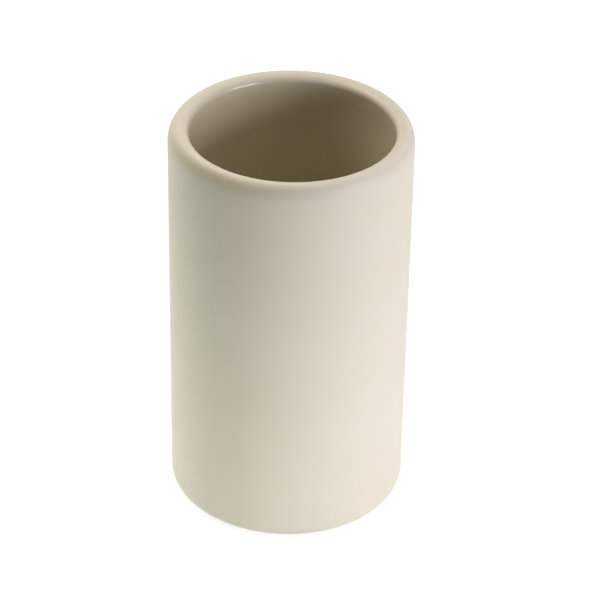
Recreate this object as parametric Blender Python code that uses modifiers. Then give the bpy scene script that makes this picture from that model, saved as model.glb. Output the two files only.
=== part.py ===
"""Toothbrush holder: an open, thick-walled tumbler of glazed stoneware on anti-slip pads.

Lengths are in metres and +Z is up. The origin is the middle of the surface that the pads stand on.

The tumbler is one turned section. From the middle of the inside floor it runs out through a
rounded corner, up a wall that thins towards the mouth, over a lip that falls further on its
outer side than on its inner side, straight down the outside, round the base edge, across the
foot ring and up a soft shoulder into the shallow recess of the underside. The pads are stuck
into that recess and stand a little lower than the foot ring.
"""

import math

import bpy

# Tumbler: the fired clay body with its glaze
outer_diameter = 0.0660
body_height = 0.1133
wall_at_mouth = 0.0053
wall_at_floor = 0.0058
floor_thickness = 0.0060
inside_corner_radius = 0.0070

# Lip: where its crest lies across the wall, and how far each side of it falls
lip_crest_share = 0.50
lip_outer_fall = 0.0045
lip_inner_fall = 0.0023

# Foot: the rounded base edge, the flat ring and the recess inside the ring
base_edge_radius = 0.0030
foot_ring_width = 0.0045
recess_depth = 0.0012
recess_shoulder_width = 0.0020

# Anti-slip pads: small discs with a rounded lower edge, held by a film of adhesive
pad_count = 3
pad_diameter = 0.0090
pad_standout = 0.0006
pad_edge_radius = 0.0004
pad_edge_clearance = 0.0010
adhesive_film = 0.0003

# How finely the round forms are drawn
body_turn_steps = 96
pad_turn_steps = 32
corner_steps = 6
lip_steps = 8
base_edge_steps = 5
shoulder_steps = 5
pad_edge_steps = 3
weld_distance = 0.00001

# Directions in a half section, as angles from outwards through upwards
outwards = 0
upwards = math.pi / 2
inwards = math.pi
downwards = -math.pi / 2

# Radii and heights that follow from the sizes above
outer_radius = outer_diameter / 2
mouth_radius = outer_radius - wall_at_mouth
crest_radius = outer_radius - lip_crest_share * wall_at_mouth
inside_floor_radius = outer_radius - wall_at_floor
foot_ring_outer_radius = outer_radius - base_edge_radius
foot_ring_inner_radius = foot_ring_outer_radius - foot_ring_width
recess_floor_radius = foot_ring_inner_radius - recess_shoulder_width
pad_radius = pad_diameter / 2
pad_circle_radius = recess_floor_radius - pad_edge_clearance - pad_radius
pad_thickness = recess_depth - adhesive_film + pad_standout


def clear_scene():
    """Removes every object that the file holds, so that the model stands alone."""
    for old in list(bpy.data.objects):
        bpy.data.objects.remove(old, do_unlink=True)


def arc(centre, half_width, half_height, start, end, steps):
    """(radius, height) points on an upright ellipse, from one direction to another."""
    points = []
    for step in range(steps + 1):
        angle = start + (end - start) * step / steps
        radius = centre[0] + half_width * math.cos(angle)
        height = centre[1] + half_height * math.sin(angle)
        points.append((radius, height))
    return points


def inside_corner():
    """The rounded corner between the inside floor and the inside wall."""
    centre = (inside_floor_radius - inside_corner_radius, floor_thickness + inside_corner_radius)
    return arc(centre, inside_corner_radius, inside_corner_radius, downwards, outwards, corner_steps)


def lip():
    """The lip from the inside wall over its crest to the outside: two unlike quarter ellipses."""
    inner_centre = (crest_radius, body_height - lip_inner_fall)
    inner_side = arc(inner_centre, crest_radius - mouth_radius, lip_inner_fall, inwards, upwards, lip_steps)
    outer_centre = (crest_radius, body_height - lip_outer_fall)
    outer_side = arc(outer_centre, outer_radius - crest_radius, lip_outer_fall, upwards, outwards, lip_steps)
    return inner_side + outer_side[1:]


def base_edge():
    """The rounded edge between the outside wall and the foot ring."""
    centre = (foot_ring_outer_radius, base_edge_radius)
    return arc(centre, base_edge_radius, base_edge_radius, outwards, downwards, base_edge_steps)


def recess_shoulder():
    """The soft step from the foot ring up to the recess: half a cosine wave."""
    points = []
    for step in range(shoulder_steps + 1):
        way = step / shoulder_steps
        rise = (1 - math.cos(way * math.pi)) / 2
        radius = foot_ring_inner_radius - way * recess_shoulder_width
        points.append((radius, rise * recess_depth))
    return points


def tumbler_section():
    """The tumbler's whole half section, with heights counted from its foot ring."""
    floor_middle = [(0, floor_thickness)]
    recess_middle = [(0, recess_depth)]
    inside = floor_middle + inside_corner()
    underside = base_edge() + recess_shoulder() + recess_middle
    return inside + lip() + underside


def pad_section():
    """A pad's half section, from its stuck face down to the face that it stands on."""
    stuck_face = [(0, pad_thickness), (pad_radius, pad_thickness)]
    centre = (pad_radius - pad_edge_radius, pad_edge_radius)
    lower_edge = arc(centre, pad_edge_radius, pad_edge_radius, outwards, downwards, pad_edge_steps)
    return stuck_face + lower_edge + [(0, 0)]


def principled(name, colour, roughness, metallic, coat):
    """A Principled BSDF material with one linear colour."""
    material = bpy.data.materials.new(name)
    material.use_nodes = True
    material.diffuse_color = colour
    shader = material.node_tree.nodes["Principled BSDF"]
    shader.inputs["Base Color"].default_value = colour
    shader.inputs["Roughness"].default_value = roughness
    shader.inputs["Metallic"].default_value = metallic
    shader.inputs["Coat Weight"].default_value = coat
    return material


def cream_glaze():
    """Satin cream glaze over stoneware."""
    return principled("cream_glaze", (0.76, 0.69, 0.57, 1), roughness=0.4, metallic=0, coat=0.2)


def milky_silicone():
    """Milky, slightly greyish silicone rubber."""
    return principled("milky_silicone", (0.66, 0.65, 0.61, 1), roughness=0.55, metallic=0, coat=0)


def turned(name, section, steps, material, collection):
    """An object made by turning a half section once round its own Z axis."""
    mesh = bpy.data.meshes.new(name)
    corners = [(radius, 0, height) for radius, height in section]
    links = [(i, i + 1) for i in range(len(corners) - 1)]
    mesh.from_pydata(corners, links, [])
    mesh.materials.append(material)
    piece = bpy.data.objects.new(name, mesh)
    collection.objects.link(piece)
    turn = piece.modifiers.new("Turn", "SCREW")
    turn.axis = "Z"
    turn.angle = math.tau
    turn.steps = steps
    turn.render_steps = steps
    turn.use_merge_vertices = True
    turn.merge_threshold = weld_distance
    turn.use_smooth_shade = True
    shading = piece.modifiers.new("Weighted shading", "WEIGHTED_NORMAL")
    shading.keep_sharp = True
    return piece


def make_tumbler(collection, stand):
    """The glazed body, lifted so that its foot ring clears the surface by the pads' standout."""
    body = turned("tumbler_body", tumbler_section(), body_turn_steps, cream_glaze(), collection)
    body.parent = stand
    body.location.z = pad_standout


def make_pads(collection, stand):
    """The pads, evenly spaced on a circle in the recess, with one of them at the front."""
    silicone = milky_silicone()
    for number in range(pad_count):
        angle = downwards + math.tau * number / pad_count
        name = f"anti_slip_pad_{number + 1}"
        pad = turned(name, pad_section(), pad_turn_steps, silicone, collection)
        pad.parent = stand
        pad.location.x = pad_circle_radius * math.cos(angle)
        pad.location.y = pad_circle_radius * math.sin(angle)


def build():
    """Makes the collection, the empty that carries every piece, and the pieces."""
    clear_scene()
    collection = bpy.data.collections.new("toothbrush_holder")
    bpy.context.scene.collection.children.link(collection)
    stand = bpy.data.objects.new("holder_origin", None)
    stand.empty_display_size = outer_radius
    collection.objects.link(stand)
    make_tumbler(collection, stand)
    make_pads(collection, stand)


build()
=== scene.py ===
import math

import bpy
import numpy as np
from mathutils import Matrix, Vector


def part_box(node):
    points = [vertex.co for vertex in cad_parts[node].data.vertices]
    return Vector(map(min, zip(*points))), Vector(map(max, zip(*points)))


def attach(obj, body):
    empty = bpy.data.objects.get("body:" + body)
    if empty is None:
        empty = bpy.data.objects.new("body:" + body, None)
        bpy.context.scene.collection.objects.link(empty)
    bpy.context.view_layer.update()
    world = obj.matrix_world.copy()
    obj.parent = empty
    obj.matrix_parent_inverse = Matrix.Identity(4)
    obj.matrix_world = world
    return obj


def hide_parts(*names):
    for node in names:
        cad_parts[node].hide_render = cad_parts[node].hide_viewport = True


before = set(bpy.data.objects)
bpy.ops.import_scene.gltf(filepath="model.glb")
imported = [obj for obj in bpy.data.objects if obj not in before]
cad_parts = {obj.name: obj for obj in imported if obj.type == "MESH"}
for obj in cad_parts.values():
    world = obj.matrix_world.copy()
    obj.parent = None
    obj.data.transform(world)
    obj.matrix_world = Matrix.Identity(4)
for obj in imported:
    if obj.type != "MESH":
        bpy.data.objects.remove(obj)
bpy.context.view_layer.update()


# Tumbler body
# One slip-cast stoneware cup: a straight round wall, a thick lip sponged to a full round, a rounded
# base edge and a foot ring round a shallow recess. It is glazed cream all over but for the foot
# ring, which is wiped clean to stand on the kiln shelf.

wall_at_mouth = 0.0053
wall_at_floor = 0.0058
floor_thickness = 0.0060
inside_corner_radius = 0.0070
lip_crest_share = 0.50
lip_outer_fall = 0.0045
lip_inner_fall = 0.0023
base_edge_radius = 0.0030
foot_ring_width = 0.0045
recess_depth = 0.0012
recess_shoulder_width = 0.0020

# How the clay moved as it dried and fired. Turns are in radians, anticlockwise from the right.
out_of_round = 0.00007
two_lobe_shift, three_lobe_shift = 0.7, 2.1
lip_dip = 0.00009
lip_dip_reach = 0.0110
lip_high_turn = 0.4
cavity_offset = 0.00038
lip_swell = 0.0008
lip_swell_reach = 0.0080
lip_swell_turn = math.radians(33)
lip_swell_narrowness = 7

# Where the glaze stops above the foot
wiped_height = 0.0005
wiped_edge_wander = 0.00018
wiped_edge_softness = 0.00025
wander_lobes, wander_shifts = (3, 7, 11), (0.9, 2.3, 0)

# Where the cavity's painted shade and the gloss start and are full, as shares of the lip's inner fall
inside_starts, inside_full = 0.30, 1.40
gloss_starts, gloss_full = 0.05, 0.60

# How much lower the cavity's painted shade starts on the right, where the inner lip is left lighter as
# painted light, and how far down it takes its deep tone
inside_sinks_right = 1.20
inside_sink_narrowness = 2
deep_shade_fall = 0.0300

# How deep the glaze lies at these falls below the lip, which also paints shade: all round, on the
# front-left side where the painted shade is darkest, and inside
glaze_falls = (0, 0.0006, 0.0012, 0.0024, 0.0036, 0.0050, 0.0080, 0.1080)
depth_and_shade_shares = (1.00, 0.98, 0.66, 0.66, 0.71, 0.74, 0.74, 1.00)
painted_shade_depth_shares = (0.50, 0.26, 0.00, 0.22, 0.52, 0.62, 0.68, 1.00)
# Where the lip's painted shade is darkest, on the front-left side
painted_shade_turn = math.radians(-132)
painted_shade_narrowness = 10
painted_shade_edge = 0.0008
inner_glaze_falls = (0, 0.0008)
inner_glaze_depth_shares = (1.00, 0.65)

columns_round = 384
row_spacing = 0.0024
fine_row_spacing = 0.0006
corner_rows, lip_inside_rows, lip_outside_rows = 16, 20, 22
base_edge_rows, shoulder_rows = 22, 14

body_low, body_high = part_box("tumbler_body")
outer_radius = body_high.x
foot_height = body_low.z
lip_height = body_high.z
mouth_radius = outer_radius - wall_at_mouth
crest_radius = outer_radius - lip_crest_share * wall_at_mouth
inside_floor_radius = outer_radius - wall_at_floor
inside_floor_height = foot_height + floor_thickness
foot_ring_outer_radius = outer_radius - base_edge_radius
foot_ring_inner_radius = foot_ring_outer_radius - foot_ring_width
recess_height = foot_height + recess_depth
mid_floor_height = (recess_height + inside_floor_height) / 2


def quarter(centre, half_width, half_height, start, end, count):
    """(radius, height) rows on a quarter of an upright ellipse: its centre plus the half width times
    the cosine and the half height times the sine of an angle that runs from start to end."""
    angle = np.linspace(start, end, count)
    radius = centre[0] + half_width * np.cos(angle)
    height = centre[1] + half_height * np.sin(angle)
    return np.stack([radius, height], 1)


def between(first, last, spacing):
    """(radius, height) rows evenly spaced on the straight line between two rows, without its ends."""
    count = max(math.ceil(np.linalg.norm(last - first) / spacing), 1)
    share = np.linspace(0, 1, count + 1)[1:-1, None]
    return first + (last - first) * share


def soft_step(radius_from, radius_to, height_from, height_to, count):
    """(radius, height) rows of half a cosine wave: the radius goes evenly from one to the other, and
    the height as one minus the cosine of the way, halved."""
    way = np.linspace(0, 1, count)
    rise = (1 - np.cos(way * math.pi)) / 2
    radius = radius_from + way * (radius_to - radius_from)
    height = height_from + rise * (height_to - height_from)
    return np.stack([radius, height], 1)


def tumbler_section():
    """The half section from the middle of the inside floor, up the inside, over the lip, down the
    outside and under the foot to the middle of the recess."""
    outward, upward, inward, downward = 0, math.pi / 2, math.pi, -math.pi / 2
    bend = inside_corner_radius
    corner_centre = (inside_floor_radius - bend, inside_floor_height + bend)
    corner = quarter(corner_centre, bend, bend, downward, outward, corner_rows)
    inner_centre = (crest_radius, lip_height - lip_inner_fall)
    inner_width = crest_radius - mouth_radius
    lip_inside = quarter(inner_centre, inner_width, lip_inner_fall, inward, upward, lip_inside_rows)
    outer_centre = (crest_radius, lip_height - lip_outer_fall)
    outer_width = outer_radius - crest_radius
    lip_outside = quarter(outer_centre, outer_width, lip_outer_fall, upward, outward, lip_outside_rows)
    bend = base_edge_radius
    base_centre = (foot_ring_outer_radius, foot_height + bend)
    base_edge = quarter(base_centre, bend, bend, outward, downward, base_edge_rows)
    shoulder_end = foot_ring_inner_radius - recess_shoulder_width
    shoulder = soft_step(foot_ring_inner_radius, shoulder_end, foot_height, recess_height, shoulder_rows)
    floor_middle = np.array([[0, inside_floor_height]])
    recess_middle = np.array([[0, recess_height]])
    return np.concatenate([
        floor_middle, between(floor_middle[0], corner[0], row_spacing),
        corner, between(corner[-1], lip_inside[0], row_spacing),
        lip_inside, lip_outside[1:], between(lip_outside[-1], base_edge[0], row_spacing),
        base_edge, between(base_edge[-1], shoulder[0], fine_row_spacing),
        shoulder, between(shoulder[-1], recess_middle[0], row_spacing), recess_middle,
    ])


def to_one_side(turn, middle, narrowness):
    """1 at a middle turn and 0 opposite it: one plus the cosine of the turn from the middle, halved,
    and raised to a power that narrows it."""
    return ((1 + np.cos(turn - middle)) / 2) ** narrowness


def clay_movement(x, y, z, turn):
    """Drying and firing, for whole arrays. The wall draws in as cosines of two and three times the
    turn. The lip dips as a cosine of the turn and the square of the way up, and swells inwards on
    one side in the same way. The cavity lies a little to the right."""
    lobes = np.cos(2 * turn + two_lobe_shift) + np.cos(3 * turn + three_lobe_shift)
    still_round = 1 - out_of_round * (2 - lobes) / 4 / outer_radius
    near_lip = np.clip(1 - (lip_height - z) / lip_dip_reach, 0, 1) ** 2
    dip = lip_dip * near_lip * (1 - np.cos(turn - lip_high_turn)) / 2
    from_crest = (crest_radius - np.hypot(x, y)) / (crest_radius - mouth_radius)
    in_cavity = np.clip(from_crest, 0, 1) * (z > mid_floor_height)
    near_mouth = np.clip(1 - (lip_height - z) / lip_swell_reach, 0, 1) ** 2
    swells = to_one_side(turn, lip_swell_turn, lip_swell_narrowness)
    swell = lip_swell * in_cavity * near_mouth * swells
    moved_x = x * still_round + cavity_offset * in_cavity - swell * np.cos(turn)
    moved_y = y * still_round - swell * np.sin(turn)
    return moved_x, moved_y, z - dip


def turned_mesh(name, section, columns, middle=(0, 0), moved=None):
    """A surface of revolution. Point (i, j) lies at row i's radius and height, turned by j columns
    out of a whole turn, and may then be moved. The first and last rows lie on the axis: each is one
    point that a fan of triangles closes, and the last column is joined to the first. The axis
    stands at the middle."""
    turn = np.arange(columns) * 2 * math.pi / columns
    radius, height = section[1:-1, 0][:, None], section[1:-1, 1][:, None]
    x, y, z = radius * np.cos(turn), radius * np.sin(turn), height + 0 * turn
    rings = np.stack(moved(x, y, z, turn) if moved else (x, y, z), -1).reshape(-1, 3)
    axis = np.zeros(2), np.zeros(2), section[[0, -1], 1]
    poles = np.stack(moved(*axis, np.zeros(2)) if moved else axis, -1)
    points = np.concatenate([rings, poles]) + (*middle, 0)
    index = np.arange(len(rings)).reshape(-1, columns)
    after = np.roll(index, -1, 1)
    quads = np.stack([index[:-1], index[1:], after[1:], after[:-1]], -1).reshape(-1, 4)
    first_fan = np.stack([np.full(columns, len(rings)), index[0], after[0]], -1)
    last_fan = np.stack([np.full(columns, len(rings) + 1), after[-1], index[-1]], -1)
    mesh = bpy.data.meshes.new(name)
    faces = quads.tolist() + first_fan.tolist() + last_fan.tolist()
    mesh.from_pydata(points.tolist(), [], faces)
    mesh.shade_smooth()
    return mesh


def placed(name, mesh):
    """An object at the origin, for a mesh whose place is in its points, or for a camera or a lamp."""
    made = bpy.data.objects.new(name, mesh)
    bpy.context.scene.collection.objects.link(made)
    return made


def vertex_share(mesh, name, values):
    """Stores one number from 0 to 1 for each vertex, for a material to read."""
    mesh.attributes.new(name, "FLOAT", "POINT").data.foreach_set("value", values.astype(np.float32))


tumbler_mesh = turned_mesh("tumbler", tumbler_section(), columns_round, moved=clay_movement)
tumbler = placed("tumbler", tumbler_mesh)

at = np.empty(len(tumbler_mesh.vertices) * 3, np.float32)
tumbler_mesh.vertices.foreach_get("co", at)
at_x, at_y, at_z = at.reshape(-1, 3).T
at_radius, at_turn = np.hypot(at_x, at_y), np.arctan2(at_y, at_x)

# How far below the lip, in metres and as a share of the lip's inner fall
fall = lip_height - at_z
fallen = fall / lip_inner_fall

# The cavity's painted shade: none on the crest of the lip, full a little below the mouth, and lower on
# the right
in_cavity = (at_radius < crest_radius) & (at_z > mid_floor_height)
# Painted light: the painted shade starts lower on the right, so the inner lip there stays lighter
sunk = fallen / (1 + inside_sinks_right * to_one_side(at_turn, 0, inside_sink_narrowness))
inside = in_cavity * np.clip((sunk - inside_starts) / (inside_full - inside_starts), 0, 1)

# How the cavity's painted shade changes below the mouth, from the mouth's tone to a deep tone further
# down
deep = in_cavity * np.clip(fall / deep_shade_fall, 0, 1)

# How glossy the glaze melted: the cavity stays hotter in the kiln, so the glaze flows smoother there
gloss =in_cavity * np.clip((fallen - gloss_starts) / (gloss_full - gloss_starts), 0, 1)

# The foot: wiped clean of glaze up to a line that wanders a little
waves = [np.cos(lobes * at_turn + shift) for lobes, shift in zip(wander_lobes, wander_shifts)]
wander = sum(waves) / len(waves)
above_edge = at_z - foot_height - wiped_height - wiped_edge_wander * wander
on_ring = at_radius > foot_ring_inner_radius - recess_shoulder_width / 2
bare = np.clip(0.5 - above_edge / wiped_edge_softness, 0, 1) * on_ring

# How deep the glaze lies, which also carries painted shade: it stays on the level crest, draws away from
# the lip's outer shoulder, whose darker tone is partly thin glaze and partly painted shade, most of all
# on the front-left side as painted shade, and deepens towards the foot, so the body is darker up high as
# painted shade
outer_depth_and_shade = np.interp(fall, glaze_falls, depth_and_shade_shares)
painted_shade_depth = np.interp(fall, glaze_falls, painted_shade_depth_shares)
# Painted shade: the lip's outer shoulder is darkest on the front-left side
painted_shade_side = to_one_side(at_turn, painted_shade_turn, painted_shade_narrowness)
painted_shade_side *= np.clip((at_radius - crest_radius) / painted_shade_edge, 0, 1)
outer_depth_and_shade += painted_shade_side * (painted_shade_depth - outer_depth_and_shade)
inner_depth = np.interp(fall, inner_glaze_falls, inner_glaze_depth_shares)
glaze_depth_and_shade = np.where(at_radius >= crest_radius, outer_depth_and_shade, inner_depth)

vertex_share(tumbler_mesh, "inside", inside)
vertex_share(tumbler_mesh, "deep_cavity_shade", deep)
vertex_share(tumbler_mesh, "gloss", gloss)
vertex_share(tumbler_mesh, "bare_clay", bare)
vertex_share(tumbler_mesh, "glaze_depth_and_shade", glaze_depth_and_shade)


# The Mix node gives its colour sockets the names of its number sockets, so they are found by place
mix_first, mix_second, mix_result = 6, 7, 2


class Finish:
    """A node material and short ways to add and link its nodes."""

    def __init__(self, name):
        self.material = bpy.data.materials.new(name)
        self.material.use_nodes = True
        self.nodes, self.links = self.material.node_tree.nodes, self.material.node_tree.links
        self.shader = self.nodes["Principled BSDF"]
        self.place = self.nodes.new("ShaderNodeTexCoord").outputs["Object"]

    def join(self, source, socket):
        """Links a socket, or sets a plain value, on an input."""
        if isinstance(source, bpy.types.NodeSocket):
            self.links.new(source, socket)
        else:
            socket.default_value = source

    def noise(self, feature_size, detail=3):
        """Smooth noise from 0 to 1 whose features are about this size in metres."""
        texture = self.nodes.new("ShaderNodeTexNoise")
        texture.inputs["Scale"].default_value = 1 / feature_size
        texture.inputs["Detail"].default_value = detail
        self.join(self.place, texture.inputs["Vector"])
        return texture.outputs["Fac"]

    def share(self, name):
        """The number from 0 to 1 that the mesh holds under this name."""
        attribute = self.nodes.new("ShaderNodeAttribute")
        attribute.attribute_name = name
        return attribute.outputs["Fac"]

    def spread(self, value, low, high, from_low=0.3, from_high=0.7):
        """Maps a value from one range to another, held within it. Noise mostly lies in 0.3 to 0.7."""
        node = self.nodes.new("ShaderNodeMapRange")
        node.inputs["From Min"].default_value = from_low
        node.inputs["From Max"].default_value = from_high
        node.inputs["To Min"].default_value = low
        node.inputs["To Max"].default_value = high
        self.join(value, node.inputs["Value"])
        return node.outputs["Result"]

    def mix(self, factor, first, second):
        """Goes from the first colour to the second as the factor goes from 0 to 1."""
        node = self.nodes.new("ShaderNodeMix")
        node.data_type = "RGBA"
        self.join(factor, node.inputs["Factor"])
        self.join(first, node.inputs[mix_first])
        self.join(second, node.inputs[mix_second])
        return node.outputs[mix_result]

    def blend(self, factor, first, second):
        """Goes from the first number to the second as the factor goes from 0 to 1."""
        node = self.nodes.new("ShaderNodeMix")
        self.join(factor, node.inputs["Factor"])
        self.join(first, node.inputs["A"])
        self.join(second, node.inputs["B"])
        return node.outputs["Result"]

    def relief(self, height, depth, under=None):
        """A bump of this depth in metres, laid over another one."""
        node = self.nodes.new("ShaderNodeBump")
        node.inputs["Distance"].default_value = depth
        self.join(height, node.inputs["Height"])
        if under:
            self.join(under, node.inputs["Normal"])
        return node.outputs["Normal"]


def cream_glaze():
    """Satin cream glaze over buff clay. It is warmer and drier where it draws thin on the lip, whose
    darker tone there is partly thin glaze and partly painted shade, darker in tone as painted shade and
    glossier inside the cup, and wiped off the foot."""
    thick_cream = (0.786, 0.726, 0.625, 1)
    thick_warm = (0.764, 0.700, 0.595, 1)
    # A darker tone on the lip's outer shoulder and high on the body: partly thin glaze and partly
    # painted shade
    thin_and_shaded_cream = (0.635, 0.560, 0.415, 1)
    # Painted shade inside the cup: darker, more saturated tones at the mouth and further down
    mouth_shade_cream = (0.585, 0.512, 0.388, 1)
    mouth_shade_warm = (0.565, 0.492, 0.368, 1)
    deep_shade_cream = (0.632, 0.582, 0.413, 1)
    deep_shade_warm = (0.612, 0.562, 0.393, 1)
    buff_clay = (0.700, 0.610, 0.490, 1)
    sandy_clay = (0.600, 0.500, 0.380, 1)
    cloud_size, melt_size, grain_size = 0.0240, 0.0030, 0.0006
    ripple_size, ripple_depth = 0.0120, 0.00004
    peel_size, peel_depth = 0.0011, 0.0000012
    mean_grain, clay_tooth_depth = 0.5, 0.00012
    satin_low, satin_high, thin_roughness = 0.48, 0.56, 0.70
    glossy_low, glossy_high, clay_roughness = 0.17, 0.21, 0.80
    glass_ior = 1.5

    glaze = Finish("tumbler_glaze")
    depth_and_shade_share, bare_share = glaze.share("glaze_depth_and_shade"), glaze.share("bare_clay")
    clouds = glaze.spread(glaze.noise(cloud_size), 0, 1)
    thick_colour = glaze.mix(clouds, thick_cream, thick_warm)
    # Mixes in the thin tone: painted shade on the lip's outer shoulder and high on the body
    outside_colour = glaze.mix(depth_and_shade_share, thin_and_shaded_cream, thick_colour)
    # The cavity's painted shade, from the mouth's tone to the deep tone
    mouth_shade_colour = glaze.mix(clouds, mouth_shade_cream, mouth_shade_warm)
    deep_shade_colour = glaze.mix(clouds, deep_shade_cream, deep_shade_warm)
    cavity_shade_colour = glaze.mix(glaze.share("deep_cavity_shade"), mouth_shade_colour, deep_shade_colour)
    glazed = glaze.mix(glaze.share("inside"), outside_colour, cavity_shade_colour)
    grain = glaze.noise(grain_size, detail=5)
    clay = glaze.mix(glaze.spread(grain, 0, 1), buff_clay, sandy_clay)
    glaze.join(glaze.mix(bare_share, glazed, clay), glaze.shader.inputs["Base Color"])

    melt = glaze.noise(melt_size, detail=4)
    satin = glaze.blend(depth_and_shade_share, thin_roughness, glaze.spread(melt, satin_low, satin_high))
    glossy = glaze.spread(melt, glossy_low, glossy_high)
    glazed_roughness = glaze.blend(glaze.share("gloss"), satin, glossy)
    roughness = glaze.blend(bare_share, glazed_roughness, clay_roughness)
    glaze.join(roughness, glaze.shader.inputs["Roughness"])
    glaze.shader.inputs["IOR"].default_value = glass_ior

    ripple = glaze.relief(glaze.noise(ripple_size, detail=1), ripple_depth)
    peel = glaze.relief(glaze.noise(peel_size, detail=2), peel_depth, ripple)
    tooth = glaze.relief(glaze.blend(bare_share, mean_grain, grain), clay_tooth_depth, peel)
    glaze.join(tooth, glaze.shader.inputs["Normal"])
    return glaze.material


tumbler_mesh.materials.append(cream_glaze())
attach(tumbler, "root")
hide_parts("tumbler_body")


# Anti-slip pads
# Three small discs of milky silicone, die-cut with a rounded lower edge, each held in the recess by
# a thin film of clear adhesive that is a little smaller than the disc.

pad_edge_radius = 0.0004
pad_top_bevel = 0.00004
pad_face_dish = 0.00004
film_inset = 0.0002
film_end_gap = 0.00001
film_level_share = 0.97
film_edge_drop = 0.00003
pad_columns = 96
pad_edge_rows, pad_face_rows = 10, 8


def pad_section(radius, low, high):
    """The half section from the top of the adhesive film, down the film and the disc's side, round
    the lower edge and in to the middle of the lower face, which is dished by a hair."""
    outward, downward = 0, -math.pi / 2
    film_top = recess_height - film_end_gap
    film_radius = radius - film_inset
    top = np.array([
        [0, film_top], [film_radius * film_level_share, film_top],
        [film_radius, film_top - film_edge_drop], [film_radius, high],
    ])
    side = np.array([[radius - pad_top_bevel, high], [radius, high - pad_top_bevel]])
    bend = pad_edge_radius
    edge = quarter((radius - bend, low + bend), bend, bend, outward, downward, pad_edge_rows)
    way = np.linspace(0, 1, pad_face_rows)[1:, None]
    face_radius = edge[-1, 0] * (1 - way)
    face_height = low + pad_face_dish * (1 - (1 - way) ** 2)
    face = np.concatenate([face_radius, face_height], 1)
    return np.concatenate([top, side, edge, face])


def milky_silicone():
    """Milky, slightly greyish silicone rubber with a fine matte skin."""
    pale_milk = (0.66, 0.65, 0.61, 1)
    grey_milk = (0.61, 0.60, 0.56, 1)
    cloud_size, skin_size = 0.0020, 0.0004
    skin_low, skin_high = 0.48, 0.62
    pore_size, pore_depth = 0.0003, 0.000008
    rubber_ior = 1.41
    milkiness, milk_depth = 0.25, 0.0008
    milk_reach = (1.0, 0.95, 0.85)

    silicone = Finish("pad_silicone")
    milk = silicone.mix(silicone.spread(silicone.noise(cloud_size), 0, 1), pale_milk, grey_milk)
    silicone.join(milk, silicone.shader.inputs["Base Color"])
    skin = silicone.spread(silicone.noise(skin_size, detail=4), skin_low, skin_high)
    silicone.join(skin, silicone.shader.inputs["Roughness"])
    silicone.shader.inputs["IOR"].default_value = rubber_ior
    silicone.shader.inputs["Subsurface Weight"].default_value = milkiness
    silicone.shader.inputs["Subsurface Radius"].default_value = milk_reach
    silicone.shader.inputs["Subsurface Scale"].default_value = milk_depth
    pores = silicone.relief(silicone.noise(pore_size), pore_depth)
    silicone.join(pores, silicone.shader.inputs["Normal"])
    return silicone.material


pad_finish = milky_silicone()
pad_nodes = [name for name in sorted(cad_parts) if name.startswith("anti_slip_pad")]
for node in pad_nodes:
    low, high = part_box(node)
    pad_radius = (high.x - low.x) / 2
    middle = ((low.x + high.x) / 2, (low.y + high.y) / 2)
    pad_mesh = turned_mesh(node, pad_section(pad_radius, low.z, high.z), pad_columns, middle)
    pad_mesh.materials.append(pad_finish)
    pad = placed(node.replace("anti_slip_pad", "silicone_pad"), pad_mesh)
    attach(pad, "root")
    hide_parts(node)


# Camera
# A long lens looks down into the tumbler from 33 degrees above the shelf. It points a fraction of a
# degree off the tumbler's middle and is rolled about one degree.

lens_mm = 155.76
sensor_mm = 36.0
camera_distance = 0.7196
camera_elevation = math.radians(33.347)
camera_heading = math.radians(0.2925)
camera_tilt_down = math.radians(33.301)
camera_roll = math.radians(1.054)
aim_height = 0.0578
nearest_shown = 0.01

aim = Vector((0, 0, aim_height))
towards_camera = Vector((0, -math.cos(camera_elevation), math.sin(camera_elevation)))
camera_data = bpy.data.cameras.new("camera")
camera_data.lens = lens_mm
camera_data.sensor_width = sensor_mm
camera_data.clip_start = nearest_shown
camera = placed("camera", camera_data)
camera_turn = (
    Matrix.Rotation(-camera_heading, 4, "Z")
    @ Matrix.Rotation(math.pi / 2 - camera_tilt_down, 4, "X")
    @ Matrix.Rotation(camera_roll, 4, "Z")
)
camera.matrix_world = Matrix.Translation(aim + towards_camera * camera_distance) @ camera_turn
bpy.context.scene.camera = camera


# Floor
# A plain white card that fades into a darker bench. The camera sees all of it as white, with the
# shadow that the tumbler casts.

floor_reach = 5.0
card_radius = 0.15
bench_radius = 0.30
card_white = 0.95
bench_grey = 0.12
seen_white = 0.28
glow_near, glow_far = 0.86, 1.00

floor_mesh = bpy.data.meshes.new("floor")
corners = [(-1, -1, 0), (1, -1, 0), (1, 1, 0), (-1, 1, 0)]
floor_mesh.from_pydata([Vector(corner) * floor_reach for corner in corners], [], [(0, 1, 2, 3)])
floor = placed("floor", floor_mesh)


def background_rays(nodes, links):
    """1 for the rays that show the background, which are camera, glossy and transmission rays, and
    otherwise 0: the larger of each two."""
    path = nodes.new("ShaderNodeLightPath")
    seen = path.outputs["Is Camera Ray"]
    for kind in ("Is Glossy Ray", "Is Transmission Ray"):
        larger = nodes.new("ShaderNodeMath")
        larger.operation = "MAXIMUM"
        links.new(seen, larger.inputs[0])
        links.new(path.outputs[kind], larger.inputs[1])
        seen = larger.outputs["Value"]
    return seen


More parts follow.
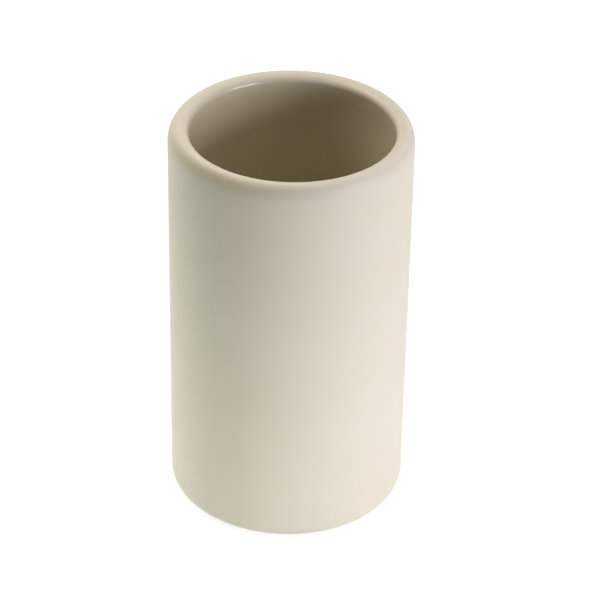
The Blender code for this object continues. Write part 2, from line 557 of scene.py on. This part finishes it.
def white_floor():
    """A diffuse floor, white near the middle and darker beyond. Camera, glossy and transmitted rays
    see a faint diffuse white over a glow instead, so the background is white and the shadow stays."""
    paper = Finish("floor_paper")
    paper.nodes.remove(paper.shader)
    from_middle = paper.nodes.new("ShaderNodeVectorMath")
    from_middle.operation = "LENGTH"
    paper.join(paper.place, from_middle.inputs[0])
    distance = from_middle.outputs["Value"]
    tone = paper.spread(distance, card_white, bench_grey, card_radius, bench_radius)
    colour = paper.nodes.new("ShaderNodeCombineColor")
    for channel in range(3):
        paper.join(tone, colour.inputs[channel])
    diffuse = paper.nodes.new("ShaderNodeBsdfDiffuse")
    paper.join(colour.outputs["Color"], diffuse.inputs["Color"])
    white = paper.nodes.new("ShaderNodeBsdfDiffuse")
    white.inputs["Color"].default_value = (seen_white, seen_white, seen_white, 1)
    glow = paper.nodes.new("ShaderNodeEmission")
    strength = paper.spread(distance, glow_near, glow_far, card_radius, bench_radius)
    paper.join(strength, glow.inputs["Strength"])
    shown = paper.nodes.new("ShaderNodeAddShader")
    paper.join(white.outputs["BSDF"], shown.inputs[0])
    paper.join(glow.outputs["Emission"], shown.inputs[1])
    choice = paper.nodes.new("ShaderNodeMixShader")
    paper.join(background_rays(paper.nodes, paper.links), choice.inputs["Fac"])
    paper.join(diffuse.outputs["BSDF"], choice.inputs[1])
    paper.join(shown.outputs["Shader"], choice.inputs[2])
    paper.join(choice.outputs["Shader"], paper.nodes["Material Output"].inputs["Surface"])
    return paper.material


floor_mesh.materials.append(white_floor())


# Studio light
# A soft lamp stands low on the right and a broader one high up behind on the left. Two short strips
# lie near the foot, one at the front and one at the left, so that the shaded side brightens towards
# its foot. The room is palest high up behind on the right and fades towards the camera.

room_light = 0.69
room_tint = (1.00, 0.93, 0.865, 1)
room_palest_turn, room_palest_elevation = 140, 45


def direction(turn_right, elevation):
    """The direction from the tumbler at this turn to the right of the camera's side and this
    elevation, both in degrees."""
    turn, rise = math.radians(turn_right), math.radians(elevation)
    return Vector((math.sin(turn) * math.cos(rise), -math.cos(turn) * math.cos(rise), math.sin(rise)))


def soft_lamp(name, centre, outwards, distance, width, height, watts, colour):
    """A rectangular lamp at this distance outwards from a centre, which it faces."""
    lamp_data = bpy.data.lights.new(name, "AREA")
    lamp_data.shape = "RECTANGLE"
    lamp_data.size, lamp_data.size_y = width, height
    lamp_data.energy = watts
    lamp_data.color = colour
    lamp = placed(name, lamp_data)
    lamp.location = centre + outwards * distance
    lamp.rotation_mode = "QUATERNION"
    lamp.rotation_quaternion = outwards.to_track_quat("Z", "Y")
    lamp.visible_camera = False


soft_lamp(
    "key_lamp", aim, direction(54, 10), distance=0.80,
    width=0.45, height=0.28, watts=4.40, colour=(0.915, 0.935, 1.00),
)
soft_lamp(
    "back_left_lamp", aim, direction(240, 50), distance=0.90,
    width=0.60, height=0.45, watts=4.67, colour=(1.00, 0.975, 0.85),
)
soft_lamp(
    "front_strip", Vector((0, 0, 0.01)), direction(345, 0), distance=0.15,
    width=0.30, height=0.018, watts=0.0315, colour=(0.93, 1.00, 0.80),
)
soft_lamp(
    "left_strip", Vector((0, 0, 0.02)), direction(270, 0), distance=0.20,
    width=0.30, height=0.03, watts=0.0840, colour=(0.83, 1.00, 1.00),
)


def pale_room():
    """Warm room light as the cosine of the angle from the palest direction, and never less than
    zero. The rays that show the background find plain white instead."""
    room = bpy.data.worlds.new("room")
    room.use_nodes = True
    nodes, links = room.node_tree.nodes, room.node_tree.links
    towards = nodes.new("ShaderNodeTexCoord").outputs["Generated"]
    cosine = nodes.new("ShaderNodeVectorMath")
    cosine.operation = "DOT_PRODUCT"
    cosine.inputs[1].default_value = direction(room_palest_turn, room_palest_elevation)
    links.new(towards, cosine.inputs[0])
    fade = nodes.new("ShaderNodeMapRange")
    fade.inputs["To Max"].default_value = room_light
    links.new(cosine.outputs["Value"], fade.inputs["Value"])
    strength = nodes.new("ShaderNodeMapRange")
    strength.inputs["To Max"].default_value = 1
    links.new(fade.outputs["Result"], strength.inputs["To Min"])
    shows = background_rays(nodes, links)
    links.new(shows, strength.inputs["Value"])
    links.new(strength.outputs["Result"], nodes["Background"].inputs["Strength"])
    colour = nodes.new("ShaderNodeMix")
    colour.data_type = "RGBA"
    links.new(shows, colour.inputs["Factor"])
    colour.inputs[mix_first].default_value = room_tint
    colour.inputs[mix_second].default_value = (1, 1, 1, 1)
    links.new(colour.outputs[mix_result], nodes["Background"].inputs["Color"])
    return room


bpy.context.scene.world = pale_room()

bpy.context.scene.view_settings.view_transform = "Standard"
